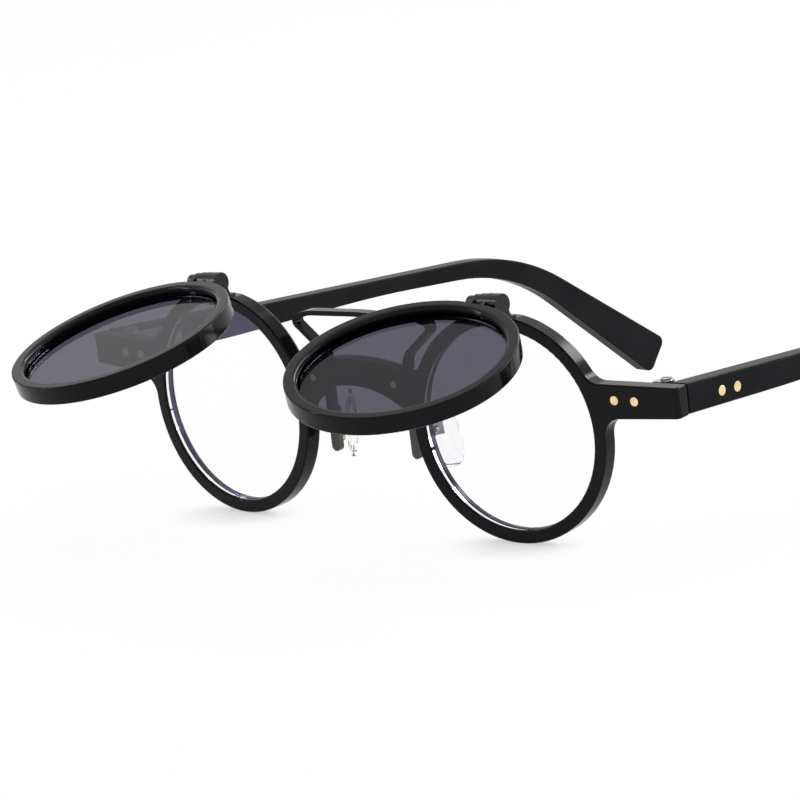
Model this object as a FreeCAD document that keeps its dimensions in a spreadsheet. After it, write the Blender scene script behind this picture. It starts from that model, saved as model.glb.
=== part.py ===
import FreeCAD, Part
import math
import os

# Flip up spectacles: a clear-lens acetate front whose two tinted flips swing up on hinges over the rims.
# Millimetres and degrees. +X is the wearer's left, the front faces -Y, +Z is up, the floor is z = 0.
# The left half is modelled; the right half is its mirror image in the plane x = 0, but for the flip hinges.

SIZES = {
    # Whole frame
    "wrap_angle": 4.85,
    "front_lean_angle": 5.3,
    "fit_clearance": 0.02,
    "running_clearance": 0.05,
    "cut_overrun": 1.0,
    # Acetate front
    "rim_offset": 33.0,
    "rim_radius": 20.2,
    "rim_width": 2.35,
    "front_thickness": 3.3,
    "front_edge_round": 0.3,
    "rear_edge_round": 0.6,
    "junction_round": 3.4,
    "end_length": 15.8,
    "end_height": 5.4,
    "end_level": 6.4,
    "end_flare": 1.8,
    "end_corner_round": 0.9,
    "bridge_top": 10.6,
    "bridge_shoulder": 6.5,
    "bridge_overlap": 4.2,
    "arch_crown": 5.75,
    "arch_foot": -0.6,
    "arch_overlap": 0.8,
    # Lenses
    "groove_depth": 1.0,
    "lens_thickness": 1.4,
    "lens_inset": 0.55,
    "lens_bevel": 0.3,
    "lens_play": 0.05,
    # Flips
    "flip_raise_angle": 76.7,
    "flip_gap": 0.15,
    "flip_thickness": 3.4,
    "flip_edge_round": 0.3,
    "flip_mouth_round": 0.8,
    # Flip hinges
    "flip_axis_rise": 2.65,
    "flip_hinge_length": 7.6,
    "flip_barrel_radius": 1.95,
    "flip_pin_radius": 0.6,
    "flip_head_radius": 1.25,
    "flip_head_length": 2.0,
    "flip_head_round": 0.6,
    "flip_seat_depth": 0.42,
    "flip_leaf_thickness": 0.42,
    "flip_leaf_depth": 1.8,
    "flip_leaf_inset": 0.1,
    "flip_arm_foot": 0.8,
    "knuckle_gap": 0.12,
    # Temples
    "temple_thickness": 3.6,
    "temple_splay_angle": 5.2,
    "right_fold_angle": 5.2,
    "temple_straight_taper": 0.75,
    "temple_slim_level": 0.1,
    "temple_slim_round": 300.0,
    "temple_gap": 0.12,
    "temple_crest": 3.3,
    "temple_waist": -0.2,
    "ear_reach": 100.7,
    "ear_lead": 0.6,
    "ear_drop_angle": 33.1,
    "ear_top_round": 50.0,
    "ear_bottom_round": 46.0,
    "tip_length": 45.7,
    "tip_width": 7.7,
    "tip_round": 1.5,
    "temple_edge_round": 0.4,
    # Core wire of the temples
    "core_thickness": 1.2,
    "core_height": 1.5,
    "core_offset": 20.0,
    "core_tip_margin": 12.0,
    # Temple hinges
    "hinge_inset": 5.2,
    "hinge_barrel_radius": 1.4,
    "hinge_barrel_length": 5.4,
    "hinge_leaf_thickness": 0.8,
    "hinge_leaf_height": 4.2,
    "hinge_screw_radius": 0.6,
    "hinge_head_radius": 1.05,
    "hinge_head_height": 0.35,
    "hinge_stand": 0.2,
    "front_leaf_margin": 1.1,
    "temple_leaf_end": 14.2,
    # Rivets
    "front_rivet_radius": 0.8,
    "temple_rivet_radius": 0.9,
    "temple_rivet_first": 9.0,
    "temple_rivet_step": 4.1,
    "rivet_proud": 0.06,
    "rivet_head_height": 0.35,
    "rivet_head_flange": 0.35,
    # Metal strap over the bridge
    "bar_width": 0.9,
    "bar_depth": 2.0,
    "bar_thickness": 1.0,
    "bar_leg_width": 2.0,
    "bar_leg_offset": 9.5,
    "bar_leg_top": 9.0,
    "bar_tongue_drop": 7.4,
    "bar_foot_level": 8.2,
    "bar_knee_level": 10.4,
    "bar_knee_round": 3.0,
    "bar_corner_offset": 16.8,
    "bar_corner_level": 16.3,
    "bar_corner_round": 0.9,
    "bar_shoulder_offset": 12.6,
    "bar_shoulder_level": 17.6,
    "bar_shoulder_round": 8.0,
    "bar_crown_level": 18.1,
    "bar_crown_round": 80.0,
    "bridge_rivet_radius": 0.65,
    "bridge_rivet_level": 6.4,
    # Nose pads
    "pad_offset": 11.4,
    "pad_depth": 10.9,
    "pad_level": -5.0,
    "pad_splay_angle": 44.0,
    "pad_flare_angle": 6.0,
    "pad_height": 11.4,
    "pad_width": 6.0,
    "pad_top_width": 4.8,
    "pad_thickness": 2.4,
    "pad_corner_round": 2.2,
    "pad_edge_round": 0.9,
    "pad_insert_width": 2.8,
    "pad_insert_height": 6.4,
    "pad_insert_thickness": 0.6,
    # Pad boxes and arms
    "box_forward": 1.2,
    "box_rise": 2.7,
    "box_reach": 2.9,
    "box_cheek": 0.5,
    "box_half_height": 1.1,
    "box_depth": 2.0,
    "lug_width": 1.0,
    "lug_radius": 0.85,
    "lug_play": 0.1,
    "pad_screw_radius": 0.4,
    "pad_screw_head": 0.7,
    "pad_screw_head_height": 0.3,
    "arm_radius": 0.45,
    "arm_root_drop": 5.6,
    "arm_root_length": 1.5,
    "arm_bend": 0.65,
    "arm_lead": 1.9,
}
# Sizes that follow from others
DERIVED = {
    "aperture_radius": "=rim_radius - rim_width",
    "lens_radius": "=aperture_radius + groove_depth",
    "end_reach": "=rim_offset + rim_radius + end_length",
    "bridge_half": "=rim_offset - rim_radius + bridge_overlap",
    "arch_half": "=rim_offset - rim_radius + arch_overlap",
    "flip_barrel_length": "=flip_hinge_length - flip_head_length",
}
# Share of the pad insert that lies above the pad screw, and how nearly parallel an edge has to be
insert_above_share = 0.4
parallel_share = 0.999
# Places of the front rivets along the end-piece, and of two bends in the temple's underside
front_rivet_shares = (0.18, 0.44)
temple_straight_share = 0.278
temple_slim_share = 0.6355
# Share of a flip hinge's knuckle that its arm takes up, and the knuckles' radii as shares of the largest
flip_arm_share = 0.55
flip_knuckle_shares = (0.82, 0.91, 0.97, 1.0)
# Knuckles of one flip hinge, moving and fixed in turn, and of one temple hinge
FLIP_KNUCKLES = len(flip_knuckle_shares)
TEMPLE_KNUCKLES = 3
# Times the frame is turned until its rims and temple tips stand on one plane
SETTLE_ROUNDS = 4

Vector = FreeCAD.Vector
Rotation = FreeCAD.Rotation
Placement = FreeCAD.Placement
X_AXIS = Vector(1, 0, 0)
Y_AXIS = Vector(0, 1, 0)
Z_AXIS = Vector(0, 0, 1)

doc = FreeCAD.newDocument("flip_spectacles")
sheet = doc.addObject("Spreadsheet::Sheet", "sizes")
for row, (alias, value) in enumerate({**SIZES, **DERIVED}.items(), start=1):
    sheet.set("A%d" % row, alias)
    sheet.set("B%d" % row, str(value))
    sheet.setAlias("B%d" % row, alias)
doc.recompute()


class Sizes:
    """The sheet's values by name."""

    def __getattr__(self, alias):
        return float(sheet.get(alias))


size = Sizes()
edge_tolerance = size.fit_clearance / 2
subparts = {}


# Placements

def move(x=0.0, y=0.0, z=0.0):
    return Placement(Vector(x, y, z), Rotation())


def turn(axis, angle):
    return Placement(Vector(), Rotation(axis, angle))


def turn_about(point, axis, angle):
    return Placement(point, Rotation()) * turn(axis, angle) * Placement(point * -1, Rotation())


WRAP = turn(Z_AXIS, size.wrap_angle)
LEAN = turn(X_AXIS, size.front_lean_angle)


def flip_axis_point():
    """Middle of the left flip's hinge, in the front's frame: over the middle of the closed flip's edge."""
    standoff = size.flip_gap + size.flip_thickness / 2
    point = WRAP.multVec(Vector(size.rim_offset, -standoff, 0))
    return Vector(point.x, point.y, size.rim_radius + size.flip_axis_rise)


FLIP_HINGE = Placement(flip_axis_point(), Rotation())
FLIP_HINGES = {"left": FLIP_HINGE, "right": move(x=-2 * flip_axis_point().x) * FLIP_HINGE}
FLIP_RAISED = turn_about(flip_axis_point(), X_AXIS, -size.flip_raise_angle)
TEMPLE_SET = turn(Z_AXIS, -size.temple_splay_angle) * turn(X_AXIS, -size.front_lean_angle)
TEMPLE_JOINT = (WRAP * move(size.end_reach - size.temple_thickness / 2, size.front_thickness, size.end_level)
                * TEMPLE_SET)
HINGE_AXIS = WRAP * move(size.end_reach - size.hinge_inset,
                         size.front_thickness + size.hinge_stand + size.hinge_barrel_radius, size.end_level)
RIGHT_FOLDED = turn_about(Vector(-HINGE_AXIS.Base.x, HINGE_AXIS.Base.y, 0), Z_AXIS, -size.right_fold_angle)
PAD_CENTRE = (move(size.pad_offset, size.pad_depth, size.pad_level) * turn(Y_AXIS, -size.pad_flare_angle)
              * turn(Z_AXIS, size.pad_splay_angle))


# Document objects

def make_body(label):
    body = doc.addObject("PartDesign::Body", label)
    body.Label = label
    return body


def add_sketch(body, name, role, edges, offset=0.0):
    """A sketch on one of the body's own origin planes, or set off from it."""
    plane = next(feature for feature in body.Origin.OriginFeatures if feature.Role == role)
    sketch = body.newObject("Sketcher::SketchObject", name)
    sketch.AttachmentSupport = (plane, [""])
    sketch.MapMode = "FlatFace"
    sketch.AttachmentOffset = move(z=offset)
    for edge in edges:
        sketch.addGeometry(edge, False)
    doc.recompute()
    return sketch


def add_pad(body, sketch, length, midplane=False):
    """Pad a sketch; a one-sided pad grows towards the rear."""
    feature = body.newObject("PartDesign::Pad", sketch.Name + "_pad")
    feature.Profile = sketch
    feature.setExpression("Length", length)
    feature.Midplane = midplane
    feature.Reversed = not midplane
    doc.recompute()
    return feature


def add_pocket(body, sketch, length, midplane=False):
    """Cut a sketch out; a one-sided pocket runs towards the rear, and has to take material away."""
    before = body.Shape.Volume
    feature = body.newObject("PartDesign::Pocket", sketch.Name + "_pocket")
    feature.Profile = sketch
    feature.setExpression("Length", length)
    feature.Midplane = midplane
    doc.recompute()
    if not body.Shape.Volume < before:
        raise RuntimeError("pocket took nothing away: " + feature.Name)
    return feature


def add_solid(body, kind, place, **formulas):
    """An added or cut box or cylinder, with its sizes as formulas on the sheet or as worked-out lengths."""
    feature = body.newObject("PartDesign::" + kind, body.Name + "_" + kind.lower())
    for name, formula in formulas.items():
        if isinstance(formula, str):
            feature.setExpression(name, formula)
        else:
            setattr(feature, name, formula)
    feature.Placement = place
    doc.recompute()
    return feature


def cut_solid(body, kind, place, **formulas):
    """A cut that has to take material away."""
    before = body.Shape.Volume
    feature = add_solid(body, kind, place, **formulas)
    if not body.Shape.Volume < before:
        raise RuntimeError("cut took nothing away: " + feature.Name)
    return feature


def round_edges(body, wanted, radius):
    """Fillet the edges of the body's last feature that the test picks."""
    base = body.Tip
    names = ["Edge%d" % number for number, edge in enumerate(base.Shape.Edges, start=1) if wanted(edge)]
    fillet = body.newObject("PartDesign::Fillet", body.Name + "_fillet")
    fillet.Base = (base, names)
    fillet.setExpression("Radius", radius)
    doc.recompute()
    return fillet


def finish(obj, place):
    """Name a sub-part of the left half and give it its place in the front's frame."""
    obj.Placement = place
    subparts[obj.Label] = obj
    return obj


def mirrored(obj, label):
    mirror = doc.addObject("Part::Mirroring", label)
    mirror.Label = label
    mirror.Source = obj
    mirror.Normal = X_AXIS
    return mirror


def compound(label, members):
    group = doc.addObject("Part::Compound", label)
    group.Label = label
    group.Links = members
    subparts[label] = group
    return group


# Outlines

def corner_arc(before, corner, after, radius):
    """Start, middle and end of the arc that rounds a corner."""
    back = (before - corner).normalize()
    ahead = (after - corner).normalize()
    half = back.getAngle(ahead) / 2
    bisector = (back + ahead).normalize()
    centre = corner + bisector * (radius / math.sin(half))
    reach = radius / math.tan(half)
    return corner + back * reach, centre - bisector * radius, corner + ahead * reach


def rounded_run(points, radii, closed):
    """Lines and tangent arcs along points, with one radius for each point."""
    edges = []
    count = len(points)
    spans = []
    for index, (point, radius) in enumerate(zip(points, radii)):
        inner = closed or 0 < index < count - 1
        if inner and radius > 0:
            start, middle, end = corner_arc(points[index - 1], point, points[(index + 1) % count], radius)
            spans.append((start, end))
            edges.append(Part.Arc(start, middle, end))
        else:
            spans.append((point, point))
    for index in range(count if closed else count - 1):
        edges.append(Part.LineSegment(spans[index][1], spans[(index + 1) % count][0]))
    return edges


def closed_outline(corners):
    """Outline from corners given as (across, up, radius)."""
    points = [Vector(across, up, 0) for across, up, _ in corners]
    return rounded_run(points, [radius for _, _, radius in corners], closed=True)


def circle(across, up, radius):
    return Part.Circle(Vector(across, up, 0), Z_AXIS, radius)


def strap_corners(points, radii, width):
    """Corners of a flat strap of constant width along a bent centre line."""
    half = width / 2
    sides = []
    for sign in (1, -1):
        side = []
        for index, point in enumerate(points):
            before = points[max(index - 1, 0)]
            after = points[min(index + 1, len(points) - 1)]
            ahead = (after - point) if index == 0 else (point - before)
            onward = (after - point) if index < len(points) - 1 else (point - before)
            ahead.normalize()
            onward.normalize()
            normal_in = Vector(-ahead.y, ahead.x, 0)
            normal_out = Vector(-onward.y, onward.x, 0)
            middle = (normal_in + normal_out).normalize()
            offset = point + middle * (sign * half / middle.dot(normal_in))
            bend = ahead.x * onward.y - ahead.y * onward.x
            ending = index in (0, len(points) - 1)
            radius = radii[index] if ending else radii[index] - math.copysign(half, bend) * sign
            side.append((offset.x, offset.y, radius))
        sides.append(side)
    return sides[0] + sides[1][::-1]


def lies_along(edge, axis):
    """True for a straight edge parallel to an axis."""
    ends = edge.Vertexes
    if len(ends) != 2 or not isinstance(edge.Curve, Part.Line):
        return False
    return abs((ends[1].Point - ends[0].Point).normalize().dot(axis)) > parallel_share


def in_level(edge, axis, level):
    """True for an edge that lies in one plane square to an axis."""
    box = edge.BoundBox
    low, high = {"x": (box.XMin, box.XMax), "y": (box.YMin, box.YMax)}[axis]
    return abs(low - level) < edge_tolerance and abs(high - level) < edge_tolerance


# Acetate front

def across_front(u, n, z):
    """Placement of a cylinder that runs from front to rear at (u, z), starting at depth n."""
    return move(u, n, z) * turn(X_AXIS, -90)


def front_half():
    body = make_body("front_half")
    rim = add_sketch(body, "rim_disc", "XZ_Plane", [circle(size.rim_offset, 0, size.rim_radius)])
    add_pad(body, rim, "sizes.front_thickness")
    top = size.end_level + size.end_height / 2
    bottom = size.end_level - size.end_height / 2
    end = [(size.rim_offset, top, 0), (size.end_reach, top, 0),
           (size.end_reach, bottom, 0), (size.rim_offset, bottom - size.end_flare, 0)]
    add_pad(body, add_sketch(body, "end_piece", "XZ_Plane", closed_outline(end)), "sizes.front_thickness")
    add_pad(body, add_sketch(body, "bridge", "XZ_Plane", bridge_outline()), "sizes.front_thickness")
    round_edges(body, on_rim_side, "sizes.junction_round")
    round_edges(body, outer_front_corner, "sizes.end_corner_round")
    hole = add_sketch(body, "aperture", "XZ_Plane", [circle(size.rim_offset, 0, size.aperture_radius)])
    add_pocket(body, hole, "sizes.front_thickness")
    round_edges(body, lambda edge: in_face(edge, 0), "sizes.front_edge_round")
    round_edges(body, lambda edge: in_face(edge, size.front_thickness), "sizes.rear_edge_round")
    cut_lens_groove(body, front_lens_middle())
    cut_hinge_flat(body, 0, "sizes.front_thickness")
    for place in front_rivet_places():
        cut_solid(body, "SubtractiveCylinder", place * move(z=-size.cut_overrun),
                  Radius="sizes.front_rivet_radius + sizes.fit_clearance",
                  Height="sizes.front_thickness + 2 * sizes.cut_overrun")
    body.Placement = WRAP
    return body


def bridge_outline():
    """Bridge with an arched top and underside, on both sides of the middle."""
    top = [Vector(side * size.bridge_half, size.bridge_shoulder, 0) for side in (-1, 1)]
    foot = [Vector(side * size.arch_half, size.arch_foot, 0) for side in (-1, 1)]
    return [Part.Arc(top[0], Vector(0, size.bridge_top, 0), top[1]),
            Part.LineSegment(top[1], foot[1]),
            Part.Arc(foot[1], Vector(0, size.arch_crown, 0), foot[0]),
            Part.LineSegment(foot[0], top[0])]


def on_rim_side(edge):
    """Corners where the end-piece and the bridge leave the round of the rim."""
    if not lies_along(edge, Y_AXIS):
        return False
    point = edge.CenterOfMass
    reach = math.hypot(point.x - size.rim_offset, point.z)
    return abs(reach - size.rim_radius) < edge_tolerance


def outer_front_corner(edge):
    """The upright front corner at the outer end of the end-piece."""
    point = edge.CenterOfMass
    at_end = abs(point.x - size.end_reach) < edge_tolerance
    return lies_along(edge, Z_AXIS) and at_end and abs(point.y) < edge_tolerance


def in_face(edge, depth):
    """True for an edge of the front or rear face, but for the one behind the temple joint."""
    middle = edge.CenterOfMass
    at_joint = lies_along(edge, Z_AXIS) and middle.x > size.rim_offset
    return in_level(edge, "y", depth) and middle.x > -size.arch_half / 2 and not at_joint


def front_lens_middle():
    """Depth of the middle of a clear lens, which sits near the front face."""
    return size.lens_inset + size.lens_thickness / 2


def cut_lens_groove(body, middle):
    depth = middle - size.lens_thickness / 2 - size.lens_play
    cut_solid(body, "SubtractiveCylinder", across_front(size.rim_offset, depth, 0),
              Radius="sizes.lens_radius + sizes.lens_play",
              Height="sizes.lens_thickness + 2 * sizes.lens_play")


def cut_hinge_flat(body, n, thickness):
    """Flat on top of a rim, where a hinge leaf sits."""
    seat = size.rim_radius - size.flip_seat_depth
    corner = move(size.rim_offset - size.rim_radius / 2, n - size.cut_overrun, seat)
    cut_solid(body, "SubtractiveBox", corner, Length="sizes.rim_radius",
              Width=thickness + " + 2 * sizes.cut_overrun",
              Height="sizes.flip_seat_depth + sizes.cut_overrun")


def front_rivet_places():
    for share in front_rivet_shares:
        yield across_front(size.rim_offset + size.rim_radius + share * size.end_length, 0, size.end_level)


def bridge_rivet_place():
    return Placement(Vector(size.bar_leg_offset, 0, size.bridge_rivet_level), Rotation(X_AXIS, -90))


def make_front():
    """Both halves, each cut off at the middle plane, with the holes of the bridge rivets."""
    half = front_half()
    keep = doc.addObject("Part::Box", "left_side")
    for name, formula in (("Length", "2 * sizes.end_reach"), ("Width", "2 * sizes.end_reach"),
                          ("Height", "4 * sizes.rim_radius")):
        keep.setExpression(name, formula)
    keep.Placement = move(0, -size.end_reach, -2 * size.rim_radius)
    left = doc.addObject("Part::Common", "front_left")
    left.Base = half
    left.Tool = keep
    whole = doc.addObject("Part::MultiFuse", "front_whole")
    whole.Shapes = [left, mirrored(left, "front_right")]
    whole.Refine = True
    hole = doc.addObject("Part::Cylinder", "bridge_hole_left")
    hole.setExpression("Radius", "sizes.bridge_rivet_radius + sizes.fit_clearance")
    hole.setExpression("Height", "sizes.front_thickness + 2 * sizes.cut_overrun")
    hole.Placement = bridge_rivet_place() * move(z=bridge_face() - size.cut_overrun)
    holes = doc.addObject("Part::MultiFuse", "bridge_holes")
    holes.Shapes = [hole, mirrored(hole, "bridge_hole_right")]
    front = doc.addObject("Part::Cut", "front_frame")
    front.Base = whole
    front.Tool = holes
    doc.recompute()
    finish(front, Placement())


# Lenses and flips

def make_lens(label, middle, place):
    body = make_body(label)
    add_solid(body, "AdditiveCylinder", across_front(size.rim_offset, middle - size.lens_thickness / 2, 0),
              Radius="sizes.lens_radius", Height="sizes.lens_thickness")
    bevel = body.newObject("PartDesign::Chamfer", label + "_bevel")
    base = body.Group[0]
    bevel.Base = (base, ["Edge%d" % number for number, edge in enumerate(base.Shape.Edges, start=1)
                         if isinstance(edge.Curve, Part.Circle)])
    bevel.setExpression("Size", "sizes.lens_bevel")
    doc.recompute()
    return finish(body, place)


def is_circle(edge):
    return isinstance(edge.Curve, Part.Circle)


def in_mouth(edge, front):
    """True for the edge of a flip ring's aperture in its front face."""
    return in_level(edge, "y", front) and abs(edge.Curve.Radius - size.aperture_radius) < edge_tolerance


def make_flip_rim():
    """Flip ring, drawn closed in front of the rim."""
    body = make_body("flip_rim_left")
    front = -(size.flip_gap + size.flip_thickness)
    ring = across_front(size.rim_offset, front, 0)
    add_solid(body, "AdditiveCylinder", ring, Radius="sizes.rim_radius", Height="sizes.flip_thickness")
    cut_solid(body, "SubtractiveCylinder", ring * move(z=-size.cut_overrun), Radius="sizes.aperture_radius",
              Height="sizes.flip_thickness + 2 * sizes.cut_overrun")
    round_edges(body, lambda edge: is_circle(edge) and not in_mouth(edge, front), "sizes.flip_edge_round")
    round_edges(body, lambda edge: is_circle(edge) and in_mouth(edge, front), "sizes.flip_mouth_round")
    cut_lens_groove(body, front + size.flip_thickness / 2)
    cut_hinge_flat(body, front, "sizes.flip_thickness")
    return finish(body, FLIP_RAISED * WRAP)


# Flip hinges, drawn about their axis with the flip closed; the same on both sides

def knuckle_spans(length, count, gap):
    """Start and width of each knuckle along a barrel of one length."""
    width = (length - (count - 1) * gap) / count
    return [(-length / 2 + index * (width + gap), width) for index in range(count)]


def along_x(x):
    return move(x) * turn(Y_AXIS, 90)


def flip_seat():
    """Level of the flats on the rim and on the closed flip, below the axis."""
    return -(size.flip_axis_rise + size.flip_seat_depth)


def flip_knuckle():
    """Length of one knuckle of a flip hinge."""
    gaps = FLIP_KNUCKLES - 1
    return "(sizes.flip_barrel_length - %d * sizes.knuckle_gap) / %d" % (gaps, FLIP_KNUCKLES)


def add_flip_knuckles(body, first, arm):
    """Every second knuckle of the barrel, each with an arm of one side outline down to its leaf."""
    spans = knuckle_spans(size.flip_barrel_length, FLIP_KNUCKLES, size.knuckle_gap)
    for number in range(first, FLIP_KNUCKLES, 2):
        start, width = spans[number]
        start += size.flip_head_length / 2
        add_solid(body, "AdditiveCylinder", along_x(start), Height=flip_knuckle(),
                  Radius="%s * sizes.flip_barrel_radius" % flip_knuckle_shares[number])
        side = add_sketch(body, "%s_arm_%d" % (body.Name, number), "YZ_Plane", closed_outline(arm),
                          offset=start + flip_arm_share * width / 2)
        add_pad(body, side, "%s * %s" % (flip_arm_share, flip_knuckle()), midplane=True)


def arm_reach():
    """How far from the axis an arm meets its knuckle: no further than the smallest knuckle's side."""
    return min(flip_knuckle_shares) * size.flip_barrel_radius


def cut_flip_bore(body, play):
    cut_solid(body, "SubtractiveCylinder", along_x(-size.flip_hinge_length / 2 - size.cut_overrun),
              Radius="sizes.flip_pin_radius + sizes." + play,
              Height="sizes.flip_hinge_length + 2 * sizes.cut_overrun")


def make_flip_fixed_leaf(side):
    """Plate on top of the rim, with arms that rise to the rear of the barrel."""
    body = make_body("flip_fixed_leaf_" + side)
    seat = flip_seat()
    rear = size.flip_gap + size.flip_thickness / 2 + size.flip_leaf_inset
    add_solid(body, "AdditiveBox", move(-size.flip_hinge_length / 2, rear, seat),
              Length="sizes.flip_hinge_length - %s * %s" % (1 - flip_arm_share, flip_knuckle()),
              Width="sizes.flip_leaf_depth",
              Height="sizes.flip_leaf_thickness")
    add_flip_knuckles(body, 1, [(0, -size.flip_pin_radius, 0), (rear, seat, 0),
                                (rear + size.flip_arm_foot, seat, 0), (arm_reach(), 0, 0)])
    cut_flip_bore(body, "fit_clearance")
    return finish(body, FLIP_HINGES[side])


def make_flip_moving_leaf(side):
    """Plate on the edge of the flip, with arms that run on to the front of the barrel."""
    body = make_body("flip_moving_leaf_" + side)
    seat = flip_seat()
    front = -size.flip_leaf_depth / 2
    add_solid(body, "AdditiveBox", move(-size.flip_hinge_length / 2, front, seat),
              Length="sizes.flip_hinge_length", Width="sizes.flip_leaf_depth",
              Height="sizes.flip_leaf_thickness")
    add_flip_knuckles(body, 0, [(-arm_reach(), 0, 0), (front, seat, 0),
                                (front + size.flip_arm_foot, seat, 0), (0, -size.flip_pin_radius, 0)])
    cut_flip_bore(body, "running_clearance")
    return finish(body, FLIP_RAISED * FLIP_HINGES[side])


def make_flip_pin(side):
    """Pin with a domed head at the right end of the barrel."""
    body = make_body("flip_pin_" + side)
    end = -size.flip_hinge_length / 2
    add_solid(body, "AdditiveCylinder", along_x(end), Radius="sizes.flip_head_radius",
              Height="sizes.flip_head_length - sizes.knuckle_gap")
    round_edges(body, lambda edge: in_level(edge, "x", end), "sizes.flip_head_round")
    add_solid(body, "AdditiveCylinder", along_x(end), Radius="sizes.flip_pin_radius",
              Height="sizes.flip_hinge_length")
    return finish(body, FLIP_HINGES[side])


# Temples, drawn with the bar level; local x = 0 is the middle of the thickness, y = 0 the joint

def ear_middle():
    return Vector(size.ear_reach, (size.temple_crest + size.temple_waist) / 2, 0)


def tip_line():
    """Direction of the tip behind the ear bend."""
    drop = math.radians(size.ear_drop_angle)
    return Vector(math.cos(drop), -math.sin(drop), 0)


def temple_corners():
    half = size.end_height / 2
    ahead = -size.temple_thickness
    run = tip_line()
    tip = ear_middle() + run * size.tip_length
    across = Vector(-run.y, run.x, 0) * (size.tip_width / 2)
    top = tip + across
    bottom = tip - across
    return [(ahead, half, 0), (size.ear_reach + size.ear_lead, size.temple_crest, size.ear_top_round),
            (top.x, top.y, size.tip_round), (bottom.x, bottom.y, size.tip_round),
            (size.ear_reach - size.ear_lead, size.temple_waist, size.ear_bottom_round),
            (temple_slim_share * size.ear_reach, size.temple_slim_level, size.temple_slim_round),
            (temple_straight_share * size.ear_reach, size.temple_straight_taper - half,
             size.temple_slim_round), (ahead, -half, 0)]


def between(first, second, share):
    return first + (second - first) * share


def core_outline(spread):
    """Core wire along the middle of the bar; spread widens it for its channel."""
    mid_share = 0.5
    width = size.core_height + 2 * spread
    slim_top = between(size.end_height / 2, size.temple_crest, temple_slim_share)
    slim = Vector(temple_slim_share * size.ear_reach, between(slim_top, size.temple_slim_level, mid_share), 0)
    end = ear_middle() + tip_line() * (size.tip_length - size.core_tip_margin + spread)
    rise_share = (size.core_offset - spread) / slim.x
    start = Vector(size.core_offset - spread, slim.y * rise_share, 0)
    bend = between(size.ear_top_round, size.ear_bottom_round, mid_share)
    return closed_outline(strap_corners([start, slim, ear_middle(), end],
                                        [0, size.temple_slim_round, bend, 0], width))


def temple_rivet_places():
    for step in range(2):
        along = size.temple_rivet_first + step * size.temple_rivet_step
        yield move(size.temple_thickness / 2, along) * turn(Y_AXIS, -90)


def make_temple():
    body = make_body("temple_left")
    add_pad(body, add_sketch(body, "temple_side", "YZ_Plane", closed_outline(temple_corners())),
            "sizes.temple_thickness", midplane=True)
    half = size.temple_thickness / 2
    round_edges(body, lambda edge: in_level(edge, "x", half) or in_level(edge, "x", -half),
                "sizes.temple_edge_round")
    joint = TEMPLE_SET.inverse() * move(-size.temple_thickness, -2 * size.end_height + size.temple_gap,
                                        -size.end_height)
    cut_solid(body, "SubtractiveBox", joint, Length="2 * sizes.temple_thickness",
              Width="2 * sizes.end_height", Height="2 * sizes.end_height")
    channel = add_sketch(body, "core_channel", "YZ_Plane", core_outline(size.fit_clearance))
    add_pocket(body, channel, "sizes.core_thickness + 2 * sizes.fit_clearance", midplane=True)
    for place in temple_rivet_places():
        cut_solid(body, "SubtractiveCylinder", place * move(z=-size.cut_overrun),
                  Radius="sizes.temple_rivet_radius + sizes.fit_clearance",
                  Height="sizes.temple_thickness + 2 * sizes.cut_overrun")
    return finish(body, TEMPLE_JOINT)


def make_temple_core():
    body = make_body("temple_core_left")
    add_pad(body, add_sketch(body, "core_side", "YZ_Plane", core_outline(0)), "sizes.core_thickness",
            midplane=True)
    return finish(body, TEMPLE_JOINT)


# Temple hinges

def hinge_knuckle():
    gaps = TEMPLE_KNUCKLES - 1
    return "(sizes.hinge_barrel_length - %d * sizes.knuckle_gap) / %d" % (gaps, TEMPLE_KNUCKLES)


def hinge_starts(first):
    spans = knuckle_spans(size.hinge_barrel_length, TEMPLE_KNUCKLES, size.knuckle_gap)
    return [start for start, _ in spans[first::2]]


def make_front_hinge_leaf():
    """Plate on the rear of the end-piece, with the upper and lower knuckles; drawn about the hinge axis."""
    body = make_body("front_hinge_leaf_left")
    rear = -(size.hinge_stand + size.hinge_barrel_radius)
    start = size.front_leaf_margin - (size.end_length - size.hinge_inset)
    add_solid(body, "AdditiveBox", move(start, rear, -size.hinge_leaf_height / 2),
              Length="sizes.end_length - sizes.hinge_inset - sizes.front_leaf_margin"
                     " - sizes.hinge_barrel_radius - sizes.hinge_stand",
              Width="sizes.hinge_leaf_thickness", Height="sizes.hinge_leaf_height")
    web = size.hinge_barrel_radius + 2 * size.hinge_stand
    for level in hinge_starts(0):
        add_solid(body, "AdditiveCylinder", move(z=level), Radius="sizes.hinge_barrel_radius",
                  Height=hinge_knuckle())
        add_solid(body, "AdditiveBox", move(-web, rear, level),
                  Length="sizes.hinge_barrel_radius + 2 * sizes.hinge_stand",
                  Width="sizes.hinge_barrel_radius + sizes.hinge_stand", Height=hinge_knuckle())
    cut_solid(body, "SubtractiveCylinder", move(z=-size.hinge_barrel_length / 2 - size.cut_overrun),
              Radius="sizes.hinge_screw_radius + sizes.fit_clearance",
              Height="sizes.hinge_barrel_length + 2 * sizes.cut_overrun")
    for place in front_rivet_places():
        at_plate = HINGE_AXIS.inverse() * WRAP * place
        cut_solid(body, "SubtractiveCylinder", at_plate,
                  Radius="sizes.front_rivet_radius + sizes.fit_clearance",
                  Height="sizes.front_thickness + sizes.hinge_leaf_thickness + sizes.cut_overrun")
    return finish(body, HINGE_AXIS)


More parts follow.
